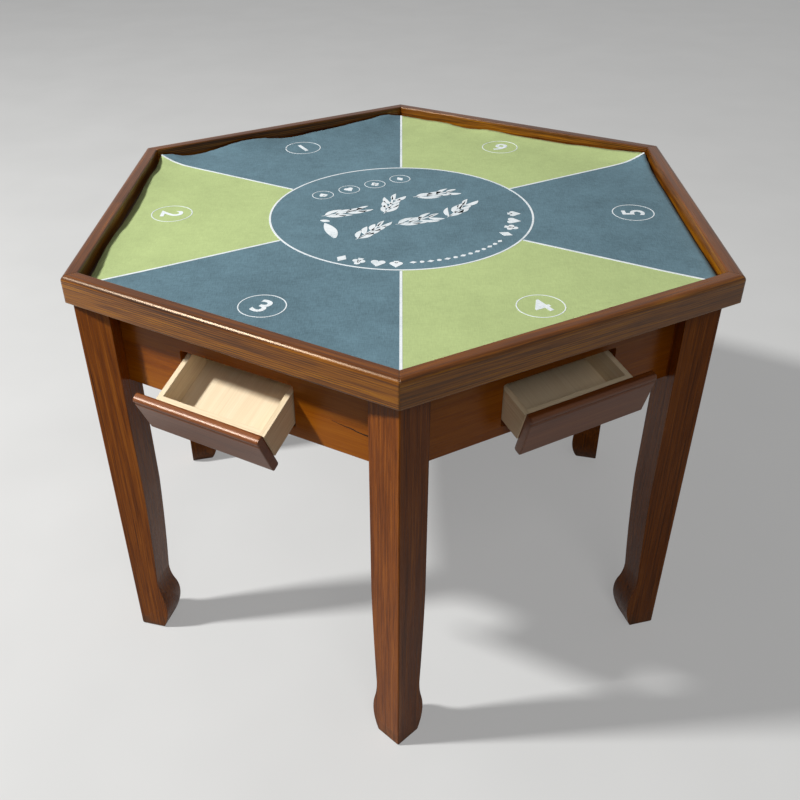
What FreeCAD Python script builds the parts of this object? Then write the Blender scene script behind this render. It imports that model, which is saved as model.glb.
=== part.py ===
import FreeCAD, Part
import math
import os

from FreeCAD import Placement, Rotation, Vector

# Six-sided game table with one small drawer in each apron. Millimetres, +Z up.
# The origin is on the floor, under the centre of the top.
# Side k faces outward at 60 * (k + 1) degrees; corner k lies between sides k and k + 1.
# In a side's own frame X points outward, Y along the side and Z up.
# Legs, aprons, drawers and all that is fixed to them form the under-frame. It is built about the
# origin like the top, then moved as one to where it stands under the top.

SIDES = range(1, 7)
ENDS = (-1, 1)
UP = Vector(0, 0, 1)
NEARLY_ZERO = 1e-6
MARGIN = 1.0

# ---- driving dimensions ----
TABLE_HEIGHT = 755.0
RIM_CORNER_RADIUS = 600.0
RIM_WIDTH = 24.5
RIM_HEIGHT = 46.0
RIM_OUTER_ROUND = 8.0
RIM_SMALL_ROUND = 2.0

MAT_DEPTH = 22.0
MAT_THICKNESS = 4.0
MAT_GAP = 6.0

UNDER_FRAME_SHIFT = -9.0
UNDER_FRAME_TURN = 0.9

LEG_CORNER_RADIUS = 583.0
LEG_WIDTH = 60.0
LEG_TAPER_WIDTH = 56.4
LEG_ANKLE_WIDTH = 51.0
LEG_THROAT_WIDTH = 52.2
LEG_HOOF_TOP_WIDTH = 56.6
LEG_HOOF_WIDTH = 60.4
LEG_FOOT_WIDTH = 46.5
TAPER_START = 335.0
TAPER_HEIGHT = 230.0
ANKLE_HEIGHT = 125.0
THROAT_HEIGHT = 104.0
HOOF_TOP_HEIGHT = 83.0
HOOF_HEIGHT = 56.0
LEG_ARRIS_ROUND = 2.5
LEG_FOOT_ROUND = 4.0
LEG_BACK_CUT_RADIUS = 508.0

APRON_OUTER_FACE = 464.0
APRON_THICKNESS = 18.0
APRON_BOTTOM_DROP = 192.0
TENON_DEPTH = 12.0
TENON_THICKNESS = 8.0
TENON_TOP_DROP = 112.0
TENON_BOTTOM_DROP = 182.0

OPENING_TOP_DROP = 102.5
OPENING_BOTTOM_DROP = 176.5
OPENING_CORNER_ROUND = 4.0
OPENING_NEAR = 91.5
OPENING_FAR = 120.5

# drawer, measured in its closed position
BOX_NEAR = 89.5
BOX_FAR = 113.0
BOX_LENGTH = 190.0
BOX_HEIGHT = 51.0
BOX_SIDE_THICKNESS = 9.0
BOX_END_THICKNESS = 9.0
BOX_BOTTOM_THICKNESS = 5.0
BOX_BOTTOM_LIFT = 5.0
BOX_GROOVE_DEPTH = 4.0
FACE_NEAR = 87.0
FACE_FAR = 148.0
FACE_THICKNESS = 15.0
FACE_ABOVE_BOX = 3.2
FACE_BELOW_BOX = 24.0
FACE_BEAD_RADIUS = 6.0
FACE_BEAD_END = -50.0
FACE_QUIRK_DROP = 13.0
FACE_TOP_ROUND = 2.0
FACE_LOW_ROUND = 4.0
FACE_GAP = 0.5

# runner cradle, which tips about two pins just behind the apron
PIVOT_INSET = 30.0
PIVOT_DROP = 155.0
PIN_RADIUS = 3.0
PIN_CLEARANCE = 0.08
LEDGE_TOP = -1.8
BOX_REST = -1.5
RUNNER_BELOW_PIVOT = 11.0
RUNNER_WEB_TOP = 20.0
RUNNER_FRONT = 11.7
RUNNER_FRONT_TOP = 2.0
RUNNER_BACK = 160.5
RUNNER_WEB = 12.0
RUNNER_LEDGE = 12.0
RUNNER_SIDE_GAP = 1.5
CROSSBAR_THICKNESS = 12.0
PIVOT_BLOCK_WIDTH = 24.0
PIVOT_BLOCK_DEPTH = 24.0
PIVOT_BLOCK_HEIGHT = 44.0
PIVOT_BLOCK_GAP = 1.0
PIN_IN_BLOCK = 20.0

# how far each drawer stands open, and how much it tips for each millimetre of travel
DROOP_PER_MM = 0.4
DRAWER_OPEN = {1: 0.0, 2: 0.0, 3: 61.5, 4: 40.0, 5: 0.0, 6: 0.0}

BRACE_OUTER_RADIUS = 490.0
BRACE_THICKNESS = 20.0
BRACE_TOP_DROP = 50.0
BRACE_HEIGHT = 64.0
BOLT_RADIUS = 4.0
BOLT_END_RADIUS = 545.0
BOLT_TAIL = 12.0
BOLT_DROPS = (66.0, 98.0)
WASHER_RADIUS = 9.0
WASHER_THICKNESS = 1.6
NUT_WIDTH = 13.0
NUT_THICKNESS = 6.5

CLEAT_SIZE = 20.0
CLEAT_HALF_LENGTH = 150.0
SCREW_RADIUS = 2.2
SCREW_HEAD_RADIUS = 4.2
SCREW_HEAD_HEIGHT = 2.6
SCREW_IN_PANEL = 13.0
SCREW_SPACING = 120.0

# ---- worked-out sizes ----
COS30 = math.cos(math.radians(30))
SIN30 = math.sin(math.radians(30))
TAN30 = math.tan(math.radians(30))
# a leg's outer faces stand square to each other, the sides beside it at 120 degrees
LEG_FACE_TURN = math.radians((120 - 90) / 2)
RIM_OUTER_FACE = RIM_CORNER_RADIUS * COS30
RIM_INNER_FACE = RIM_OUTER_FACE - RIM_WIDTH
UNDER_RIM = TABLE_HEIGHT - RIM_HEIGHT
MAT_TOP = TABLE_HEIGHT - MAT_DEPTH
PANEL_TOP = MAT_TOP - MAT_THICKNESS
APRON_INNER_FACE = APRON_OUTER_FACE - APRON_THICKNESS
APRON_BOTTOM = TABLE_HEIGHT - APRON_BOTTOM_DROP
PIVOT_X = APRON_OUTER_FACE - PIVOT_INSET
PIVOT_Z = TABLE_HEIGHT - PIVOT_DROP
BOX_FRONT_X = APRON_OUTER_FACE + FACE_GAP
BOX_BACK_X = BOX_FRONT_X - BOX_LENGTH
BOX_BASE_Z = PIVOT_Z + BOX_REST
BOX_TOP_Z = BOX_BASE_Z + BOX_HEIGHT


def side_angle(side):
    """Direction of a side's outward normal, in degrees."""
    return 60.0 * (side + 1)


def corner_angle(corner):
    return side_angle(corner) + 30.0


def far_hand(side):
    """+1 where the wide end of the drawer's face board lies towards +Y of the side's frame."""
    return 1 if side % 2 == 0 else -1


def turned(shape, degrees):
    """The shape turned about the table's vertical axis."""
    return shape.transformed(Placement(Vector(0, 0, 0), Rotation(UP, degrees)).toMatrix())


def on_side(shape, side):
    return turned(shape, side_angle(side))


def under_top(shape):
    """An under-frame piece moved from about the origin to where the under-frame stands."""
    place = Placement(Vector(UNDER_FRAME_SHIFT, 0, 0), Rotation(UP, UNDER_FRAME_TURN))
    return shape.transformed(place.toMatrix())


def block(x_limits, y_limits, z_limits):
    """A box between pairs of limits, given in either order."""
    low = Vector(min(x_limits), min(y_limits), min(z_limits))
    high = Vector(max(x_limits), max(y_limits), max(z_limits))
    size = high - low
    return Part.makeBox(size.x, size.y, size.z, low)


def handed(hand, near, far):
    """Limits along a side from the near end to the far end of a handed piece."""
    return (-hand * near, hand * far)


def prism_along_y(points, y_limits):
    """A prism whose outline is given as (x, z) points."""
    start = min(y_limits)
    length = max(y_limits) - start
    outline = [Vector(x, start, z) for x, z in points]
    face = Part.Face(Part.makePolygon(outline + outline[:1]))
    return face.extrude(Vector(0, length, 0))


def hexagon(apothem, z_low, z_high):
    radius = apothem / COS30
    corners = [corner_angle(k) for k in SIDES]
    outline = [Vector(radius * math.cos(math.radians(angle)), radius * math.sin(math.radians(angle)), z_low)
               for angle in corners]
    face = Part.Face(Part.makePolygon(outline + outline[:1]))
    return face.extrude(Vector(0, 0, z_high - z_low))


def edges_along(shape, direction, test):
    """Straight edges that run along a unit direction and whose middle passes the test."""
    chosen = []
    for edge in shape.Edges:
        if isinstance(edge.Curve, Part.Line):
            run = edge.Vertexes[-1].Point - edge.Vertexes[0].Point
            if run.cross(direction).Length < NEARLY_ZERO and test(edge.CenterOfMass):
                chosen.append(edge)
    return chosen


def rounded(centre, radius, start, end):
    """Start, middle and end of an arc in the XZ plane, given by two directions in degrees."""
    points = []
    for degrees in (start, (start + end) / 2, end):
        angle = math.radians(degrees)
        points.append((centre[0] + radius * math.cos(angle), centre[1] + radius * math.sin(angle)))
    return points


def outline_at(y, stations):
    """A closed outline in the XZ plane of corners (one point) and arcs (three), joined by lines."""
    stations = [[Vector(x, y, z) for x, z in station] for station in stations]
    edges = []
    previous = stations[-1][-1]
    for station in stations:
        if (station[0] - previous).Length > NEARLY_ZERO:
            edges.append(Part.makeLine(previous, station[0]))
        if len(station) > 1:
            edges.append(Part.Arc(*station).toShape())
        previous = station[-1]
    return Part.Face(Part.Wire(edges))


# ---- top ----
def rim_board():
    """One mitred rim board, in its side's frame."""
    half = RIM_CORNER_RADIUS
    board = block((RIM_INNER_FACE, RIM_OUTER_FACE), (-half, half), (UNDER_RIM, TABLE_HEIGHT))
    along = Vector(0, 1, 0)
    high = TABLE_HEIGHT - MARGIN
    low = UNDER_RIM + MARGIN
    outer = RIM_OUTER_FACE - MARGIN
    inner = RIM_INNER_FACE + MARGIN
    board = board.makeFillet(RIM_OUTER_ROUND, edges_along(board, along, lambda p: p.x > outer and p.z > high))
    small = edges_along(board, along, lambda p: (p.x < inner and p.z > high) or (p.x > outer and p.z < low))
    board = board.makeFillet(RIM_SMALL_ROUND, small)
    reach = RIM_OUTER_FACE + MARGIN
    spread = reach * TAN30
    sector = Part.Face(Part.makePolygon([Vector(0, 0, UNDER_RIM), Vector(reach, -spread, UNDER_RIM),
                                         Vector(reach, spread, UNDER_RIM), Vector(0, 0, UNDER_RIM)]))
    return board.common(sector.extrude(Vector(0, 0, RIM_HEIGHT)))


def screw_places():
    """Places of the panel screws on every side, as (side, point under the cleat)."""
    middle = APRON_INNER_FACE - CLEAT_SIZE / 2
    places = []
    for side in SIDES:
        for step in (-1, 0, 1):
            places.append((side, Vector(middle, step * SCREW_SPACING, UNDER_RIM - CLEAT_SIZE)))
    return places


def panel_screw(point):
    """A countersunk screw that goes up through a cleat into the panel."""
    head = Part.makeCone(SCREW_HEAD_RADIUS, SCREW_RADIUS, SCREW_HEAD_HEIGHT, point, UP)
    shank = Part.makeCylinder(SCREW_RADIUS, CLEAT_SIZE + SCREW_IN_PANEL, point, UP)
    return head.fuse(shank)


def all_panel_screws():
    return [on_side(panel_screw(point), side) for side, point in screw_places()]


def top_panel(screws):
    return hexagon(RIM_INNER_FACE, UNDER_RIM, PANEL_TOP).cut(Part.makeCompound(screws))


def playing_mat():
    return hexagon(RIM_INNER_FACE - MAT_GAP, PANEL_TOP, MAT_TOP)


# ---- legs and frame ----
def leg_outline():
    """Outline of a leg seen square to an outer face: straight, then a long taper to a hoof foot."""
    ankle = (LEG_ANKLE_WIDTH, ANKLE_HEIGHT)
    hoof_top = (LEG_HOOF_TOP_WIDTH, HOOF_TOP_HEIGHT)
    return outline_at(0, [[(0, 0)],
                          [(0, UNDER_RIM)],
                          [(LEG_WIDTH, UNDER_RIM)],
                          [(LEG_WIDTH, TAPER_START), (LEG_TAPER_WIDTH, TAPER_HEIGHT), ankle],
                          [ankle, (LEG_THROAT_WIDTH, THROAT_HEIGHT), hoof_top],
                          [hoof_top, (LEG_HOOF_WIDTH, HOOF_HEIGHT), (LEG_FOOT_WIDTH, 0)]])


def plain_leg():
    """A leg with its outer edge on the Z axis and its outer faces on the XZ and YZ planes."""
    reach = LEG_HOOF_WIDTH + MARGIN
    across_x = leg_outline().extrude(Vector(0, reach, 0))
    across_y = turned(leg_outline().extrude(Vector(0, -reach, 0)), 90)
    leg = across_x.common(across_y)
    arris = edges_along(leg, UP, lambda p: p.x < MARGIN and p.y < MARGIN)
    leg = leg.makeFillet(LEG_ARRIS_ROUND, arris)
    foot = [edge for edge in leg.Edges if edge.BoundBox.ZMax < NEARLY_ZERO]
    return leg.makeFillet(LEG_FOOT_ROUND, foot)


def leg_at(corner, tenons):
    """The leg at a corner, with its back edge cut off behind the aprons and its mortises."""
    angle = corner_angle(corner)
    outward = Vector(math.cos(math.radians(angle)), math.sin(math.radians(angle)), 0)
    place = Placement(outward * LEG_CORNER_RADIUS, Rotation(UP, angle + 135))
    leg = plain_leg().transformed(place.toMatrix())
    back_cut = block((0, LEG_BACK_CUT_RADIUS), (-LEG_WIDTH, LEG_WIDTH), (APRON_BOTTOM, UNDER_RIM))
    leg = leg.cut(turned(back_cut, angle))
    for piece in tenons:
        leg = leg.cut(piece)
    for drop in BOLT_DROPS:
        leg = leg.cut(turned(brace_bolt(drop), angle))
    return leg


def leg_inner_face_y(x):
    """Distance along the side from its middle to the leg's inner side face, at a depth x."""
    edge_x = LEG_CORNER_RADIUS * COS30 - LEG_WIDTH * math.sin(LEG_FACE_TURN)
    edge_y = LEG_CORNER_RADIUS * SIN30 - LEG_WIDTH * math.cos(LEG_FACE_TURN)
    return edge_y + (edge_x - x) * math.tan(LEG_FACE_TURN)


def tenon(hand):
    """The stub tenon at one end of an apron."""
    middle = (APRON_OUTER_FACE + APRON_INNER_FACE) / 2
    half = TENON_THICKNESS / 2
    root = leg_inner_face_y(middle)
    limits = (hand * (root - half), hand * (root + TENON_DEPTH))
    return block((middle - half, middle + half), limits,
                 (TABLE_HEIGHT - TENON_BOTTOM_DROP, TABLE_HEIGHT - TENON_TOP_DROP))


def apron(side):
    """An apron board with its drawer opening and end tenons, in its side's frame."""
    hand = far_hand(side)
    outer_y = leg_inner_face_y(APRON_OUTER_FACE)
    inner_y = leg_inner_face_y(APRON_INNER_FACE)
    outline = [Vector(APRON_OUTER_FACE, -outer_y, APRON_BOTTOM),
               Vector(APRON_OUTER_FACE, outer_y, APRON_BOTTOM),
               Vector(APRON_INNER_FACE, inner_y, APRON_BOTTOM),
               Vector(APRON_INNER_FACE, -inner_y, APRON_BOTTOM)]
    face = Part.Face(Part.makePolygon(outline + outline[:1]))
    board = face.extrude(Vector(0, 0, UNDER_RIM - APRON_BOTTOM))
    opening = block((APRON_INNER_FACE - MARGIN, APRON_OUTER_FACE + MARGIN),
                    handed(hand, OPENING_NEAR, OPENING_FAR),
                    (TABLE_HEIGHT - OPENING_BOTTOM_DROP, TABLE_HEIGHT - OPENING_TOP_DROP))
    corners = edges_along(opening, Vector(1, 0, 0), lambda p: True)
    opening = opening.makeFillet(OPENING_CORNER_ROUND, corners)
    board = board.cut(opening)
    for end in ENDS:
        board = board.fuse(tenon(end))
    return board.removeSplitter()


def corner_brace():
    """A bevelled board that ties two aprons together behind a leg, on the +X axis."""
    def half_width(radius):
        return (APRON_INNER_FACE - radius * COS30) / SIN30

    inner_radius = BRACE_OUTER_RADIUS - BRACE_THICKNESS
    top = TABLE_HEIGHT - BRACE_TOP_DROP
    outline = [Vector(BRACE_OUTER_RADIUS, -half_width(BRACE_OUTER_RADIUS), top - BRACE_HEIGHT),
               Vector(BRACE_OUTER_RADIUS, half_width(BRACE_OUTER_RADIUS), top - BRACE_HEIGHT),
               Vector(inner_radius, half_width(inner_radius), top - BRACE_HEIGHT),
               Vector(inner_radius, -half_width(inner_radius), top - BRACE_HEIGHT)]
    brace = Part.Face(Part.makePolygon(outline + outline[:1])).extrude(Vector(0, 0, BRACE_HEIGHT))
    for drop in BOLT_DROPS:
        brace = brace.cut(brace_bolt(drop))
    return brace


def brace_bolt(drop):
    """A hanger bolt from inside the brace into the leg, on the +X axis."""
    start = BRACE_OUTER_RADIUS - BRACE_THICKNESS - BOLT_TAIL
    return Part.makeCylinder(BOLT_RADIUS, BOLT_END_RADIUS - start,
                             Vector(start, 0, TABLE_HEIGHT - drop), Vector(1, 0, 0))


def bolt_washer(drop):
    seat = BRACE_OUTER_RADIUS - BRACE_THICKNESS
    ring = Part.makeCylinder(WASHER_RADIUS, WASHER_THICKNESS,
                             Vector(seat - WASHER_THICKNESS, 0, TABLE_HEIGHT - drop), Vector(1, 0, 0))
    return ring.cut(brace_bolt(drop))


def bolt_nut(drop):
    seat = BRACE_OUTER_RADIUS - BRACE_THICKNESS - WASHER_THICKNESS
    radius = NUT_WIDTH / 2 / COS30
    outline = [Vector(seat - NUT_THICKNESS, radius * math.cos(math.radians(60 * k)),
                      TABLE_HEIGHT - drop + radius * math.sin(math.radians(60 * k))) for k in range(6)]
    nut = Part.Face(Part.makePolygon(outline + outline[:1])).extrude(Vector(NUT_THICKNESS, 0, 0))
    return nut.cut(brace_bolt(drop))


def at_every_corner(make):
    """Copies of a bolt-line piece at both heights of every corner."""
    return [turned(make(drop), corner_angle(corner)) for corner in SIDES for drop in BOLT_DROPS]


def panel_cleats(screws):
    cleats = []
    for side in SIDES:
        bar = block((APRON_INNER_FACE - CLEAT_SIZE, APRON_INNER_FACE),
                    (-CLEAT_HALF_LENGTH, CLEAT_HALF_LENGTH),
                    (UNDER_RIM - CLEAT_SIZE, UNDER_RIM))
        cleats.append(on_side(bar, side).cut(Part.makeCompound(screws)))
    return cleats


# ---- runner cradles ----
def runner_web_limits(hand, end):
    """Limits along the side of a runner's upright web: end -1 is the near one, +1 the far one."""
    inner = (BOX_FAR if end > 0 else BOX_NEAR) + RUNNER_SIDE_GAP
    return (hand * end * inner, hand * end * (inner + RUNNER_WEB))


def pivot_pin(hand, end):
    web = runner_web_limits(hand, end)
    outer = web[1] + hand * end * (PIVOT_BLOCK_GAP + PIN_IN_BLOCK)
    start = Vector(PIVOT_X, min(web[0], outer), PIVOT_Z)
    return Part.makeCylinder(PIN_RADIUS, abs(outer - web[0]), start, Vector(0, 1, 0))


def pivot_block(hand, end):
    web = runner_web_limits(hand, end)
    start = web[1] + hand * end * PIVOT_BLOCK_GAP
    limits = (start, start + hand * end * PIVOT_BLOCK_WIDTH)
    body = block((APRON_INNER_FACE - PIVOT_BLOCK_DEPTH, APRON_INNER_FACE), limits,
                 (PIVOT_Z - PIVOT_BLOCK_HEIGHT / 2, PIVOT_Z + PIVOT_BLOCK_HEIGHT / 2))
    return body.cut(pivot_pin(hand, end))


def runner(hand, end):
    """An L-section runner: the web guides the drawer's side, the ledge carries it."""
    web_limits = runner_web_limits(hand, end)
    base = PIVOT_Z - RUNNER_BELOW_PIVOT
    front = PIVOT_X + RUNNER_FRONT
    back = PIVOT_X - RUNNER_BACK
    top = PIVOT_Z + RUNNER_WEB_TOP
    web = prism_along_y([(front, base), (front, PIVOT_Z), (PIVOT_X + RUNNER_FRONT_TOP, top), (back, top),
                         (back, base)], web_limits)
    ledge = block((back, front), (web_limits[0], web_limits[0] - hand * end * RUNNER_LEDGE),
                  (base, PIVOT_Z + LEDGE_TOP))
    hole_start = Vector(PIVOT_X, min(web_limits) - MARGIN, PIVOT_Z)
    hole = Part.makeCylinder(PIN_RADIUS + PIN_CLEARANCE, RUNNER_WEB + 2 * MARGIN, hole_start, Vector(0, 1, 0))
    return web.fuse(ledge).removeSplitter().cut(hole)


def runner_crossbar(hand):
    near = runner_web_limits(hand, -1)[1]
    far = runner_web_limits(hand, 1)[1]
    back = PIVOT_X - RUNNER_BACK
    return block((back - CROSSBAR_THICKNESS, back), (near, far),
                 (PIVOT_Z - RUNNER_BELOW_PIVOT, PIVOT_Z + RUNNER_WEB_TOP))


# ---- drawers, closed, in their side's frame ----
def drawer_face(hand):
    """The stained face board: a bead and a sunk quirk along its top, and a rounded bottom edge."""
    back = BOX_FRONT_X
    front = back + FACE_THICKNESS
    top = BOX_TOP_Z + FACE_ABOVE_BOX
    bottom = BOX_BASE_Z - FACE_BELOW_BOX
    start, end = sorted(handed(hand, FACE_NEAR, FACE_FAR))
    top_back = (back + FACE_TOP_ROUND, top - FACE_TOP_ROUND)
    bead = (front - FACE_BEAD_RADIUS, top - FACE_BEAD_RADIUS)
    low_front = (front - FACE_LOW_ROUND, bottom + FACE_LOW_ROUND)
    low_back = (back + FACE_LOW_ROUND, bottom + FACE_LOW_ROUND)
    outline = outline_at(start, [rounded(top_back, FACE_TOP_ROUND, 180, 90),
                                 rounded(bead, FACE_BEAD_RADIUS, 90, FACE_BEAD_END),
                                 [(front, top - FACE_QUIRK_DROP)],
                                 rounded(low_front, FACE_LOW_ROUND, 0, -90),
                                 rounded(low_back, FACE_LOW_ROUND, -90, -180)])
    return outline.extrude(Vector(0, end - start, 0))


def bottom_groove_limits():
    low = BOX_BASE_Z + BOX_BOTTOM_LIFT
    return (low, low + BOX_BOTTOM_THICKNESS)


def drawer_bottom(hand):
    near, far = handed(hand, BOX_NEAR, BOX_FAR)
    inset = BOX_SIDE_THICKNESS - BOX_GROOVE_DEPTH
    return block((BOX_BACK_X, BOX_FRONT_X - BOX_END_THICKNESS + BOX_GROOVE_DEPTH),
                 (near + hand * inset, far - hand * inset), bottom_groove_limits())


def drawer_sides(hand):
    """Both sides of the drawer box, with the groove for its bottom."""
    near, far = handed(hand, BOX_NEAR, BOX_FAR)
    sides = []
    for outer, inward in ((near, hand), (far, -hand)):
        board = block((BOX_BACK_X, BOX_FRONT_X), (outer, outer + inward * BOX_SIDE_THICKNESS),
                      (BOX_BASE_Z, BOX_TOP_Z))
        sides.append(board.cut(drawer_bottom(hand)))
    return sides


def drawer_ends(hand):
    """The box's front board, grooved for the bottom, and its back board, which stands on the bottom."""
    near, far = handed(hand, BOX_NEAR, BOX_FAR)
    limits = (near + hand * BOX_SIDE_THICKNESS, far - hand * BOX_SIDE_THICKNESS)
    front = block((BOX_FRONT_X - BOX_END_THICKNESS, BOX_FRONT_X), limits, (BOX_BASE_Z, BOX_TOP_Z))
    back = block((BOX_BACK_X, BOX_BACK_X + BOX_END_THICKNESS), limits,
                 (bottom_groove_limits()[1], BOX_TOP_Z))
    return [front.cut(drawer_bottom(hand)), back]


def pulled(shape, side):
    """A drawer piece moved from its closed place to where the drawer stands."""
    return tipped(shape.translated(Vector(DRAWER_OPEN[side], 0, 0)), side)


def tipped(shape, side):
    """A cradle piece tipped about the pivot pins by the drawer's droop."""
    droop = DRAWER_OPEN[side] * DROOP_PER_MM
    pivot = Vector(PIVOT_X, 0, PIVOT_Z)
    placement = Placement(Vector(0, 0, 0), Rotation(Vector(0, 1, 0), droop), pivot)
    return on_side(shape.transformed(placement.toMatrix()), side)


# ---- nodes ----
def compound_on_sides(make):
    """One piece for each end of each side's drawer cradle."""
    pieces = [on_side(make(far_hand(side), end), side) for side in SIDES for end in ENDS]
    return Part.makeCompound(pieces)


def drawer_nodes(side):
    """The cradle and the drawer of one side, where they stand."""
    hand = far_hand(side)
    cradle = [runner(hand, end) for end in ENDS] + [runner_crossbar(hand)]
    pieces = {"face": [drawer_face(hand)], "sides": drawer_sides(hand), "ends": drawer_ends(hand),
              "bottom": [drawer_bottom(hand)]}
    nodes = {f"drawer_{side}_runners": Part.makeCompound([tipped(piece, side) for piece in cradle])}
    for name, shapes in pieces.items():
        nodes[f"drawer_{side}_{name}"] = Part.makeCompound([pulled(shape, side) for shape in shapes])
    return nodes


def under_frame_nodes(screws):
    """Every node below the top, built about the origin."""
    nodes = {"panel_cleats": Part.makeCompound(panel_cleats(screws)),
             "panel_screws": Part.makeCompound(screws),
             "corner_braces": Part.makeCompound([turned(corner_brace(), corner_angle(c)) for c in SIDES]),
             "brace_bolts": Part.makeCompound(at_every_corner(brace_bolt)),
             "brace_washers": Part.makeCompound(at_every_corner(bolt_washer)),
             "brace_nuts": Part.makeCompound(at_every_corner(bolt_nut)),
             "pivot_blocks": compound_on_sides(pivot_block),
             "pivot_pins": compound_on_sides(pivot_pin)}
    for side in SIDES:
        next_side = side % len(SIDES) + 1
        tenons = [on_side(tenon(1), side), on_side(tenon(-1), next_side)]
        nodes[f"apron_{side}"] = on_side(apron(side), side)
        nodes[f"leg_{side}"] = leg_at(side, tenons)
        nodes.update(drawer_nodes(side))
    return nodes


def build_nodes():
    screws = all_panel_screws()
    nodes = {"top_panel": top_panel([under_top(screw) for screw in screws]),
             "playing_mat": playing_mat()}
    for side in SIDES:
        nodes[f"rim_board_{side}"] = on_side(rim_board(), side)
    for name, shape in under_frame_nodes(screws).items():
        nodes[name] = under_top(shape)
    return nodes


os.makedirs("parts", exist_ok=True)
for name, shape in build_nodes().items():
    shape.exportStep(f"parts/{name}.step")
    print(name, len(shape.Solids), round(shape.Volume / 1000, 1), shape.isValid())
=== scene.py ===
import math
import random

import bpy
from mathutils import Matrix, Vector


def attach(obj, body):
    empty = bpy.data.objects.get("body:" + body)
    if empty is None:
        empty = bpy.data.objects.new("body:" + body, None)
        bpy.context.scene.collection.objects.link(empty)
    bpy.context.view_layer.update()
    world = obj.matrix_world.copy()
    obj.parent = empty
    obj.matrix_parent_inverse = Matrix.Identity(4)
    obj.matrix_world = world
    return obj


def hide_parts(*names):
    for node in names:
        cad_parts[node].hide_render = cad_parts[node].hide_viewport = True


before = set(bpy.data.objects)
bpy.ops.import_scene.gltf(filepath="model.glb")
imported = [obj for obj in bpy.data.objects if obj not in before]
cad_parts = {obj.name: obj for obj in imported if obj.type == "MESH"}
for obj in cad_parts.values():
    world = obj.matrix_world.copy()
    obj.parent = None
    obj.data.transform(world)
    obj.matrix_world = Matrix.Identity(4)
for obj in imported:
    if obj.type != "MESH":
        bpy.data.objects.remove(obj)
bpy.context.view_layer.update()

SIDES = range(1, 7)
# how far each drawer hangs down in the frame's pose, in degrees
DROOP = {1: 0.0, 2: 0.0, 3: 24.6, 4: 16.0, 5: 0.0, 6: 0.0}

# camera: focal length and image centre in pixels, place in metres, angles in degrees
IMAGE_WIDTH = 800
FOCAL = 939.7
CENTRE_U, CENTRE_V = 374.4, 440.0
CAMERA_PLACE = (-0.0005, -1.6006, 1.3796)
PITCH, YAW, ROLL = 35.54, 1.844, -0.846
SENSOR_WIDTH = 36.0

# lamps: azimuth and height in degrees, distance and size in metres, power in watts
LAMPS = {"key": (192, 43, 6.0, 0.5, 425), "fill": (280, 42, 7.0, 3.0, 62)}
LAMP_TARGET = (0.0, 0.0, 0.5)
# the world's strength as light on the object, and as it is seen
SKY = 0.10
SKY_SEEN = 0.5
FLOOR_REACH = 24.0
FLOOR_GLOW = 0.27

# playing mat
MAT_TOP = 0.733
MAT_THICKNESS = 0.003
MAT_CENTRE = (0.0016, 0.0008)
MAT_APOTHEM = 0.4885
DISC_RADIUS = 0.2335
NUMBER_RADIUS = 0.4116
RING_RADIUS = 0.0360
SECTOR_STEPS = 60
# how far in from its edge the mat rises and ripples, in metres
RISE_REACH = 0.075
CORNER_REACH_LOSS = 0.02
CORNER_WIDTH = 8.0
RIPPLE_HEIGHT = 0.0006
RIPPLE_REACH = 0.16

# height of the mat's edge above its flat level: direction in degrees, height in millimetres
EDGE_LIFT = [
    (0, 0.5), (14, 1.0), (22, 2.0), (27, 7.0), (30, 12.6), (33, 9.6), (37, 6.7), (42, 5.8),
    (47, 3.6), (52, 3.6), (60, 3.4), (65, 5.3), (68, 5.4), (70.4, 2.8), (73.3, 1.3), (76, 2.8),
    (78.7, 5.5), (81.3, 5.6), (84, 4.5), (86.3, 5.0), (90, 5.0), (92, 8.8), (93.2, 12.3), (95, 12.5),
    (97, 9.4), (99.4, 8.2), (102, 7.0), (105, 5.2), (107.5, 4.2), (110, 3.6), (113, 3.0), (116, 1.0),
    (119, 0.8), (121.4, 1.5), (124, 4.5), (126.8, 9.0), (129.4, 10.8), (132, 11.0), (134.5, 9.5), (137, 6.0),
    (139.3, 3.0), (141.6, 0.5), (144, 0.3), (146, 2.8), (148, 10.0), (150, 12.5), (152, 6.5), (155, 3.0),
    (161, 6.5), (165, 5.5), (171, 2.0), (179, 0.6), (186, 1.2), (193, 5.5), (198, 6.5), (202, 4.5),
    (206, 1.6), (209, 0.8), (214, 0.5), (222, 2.0), (232, 0.6), (243, 2.4), (255, 0.8), (266, 1.4),
    (274, 0.6), (286, 2.2), (297, 0.5), (309, 1.8), (320, 0.4), (331, 1.4), (345, 0.4), (360, 0.5),
]


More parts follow.
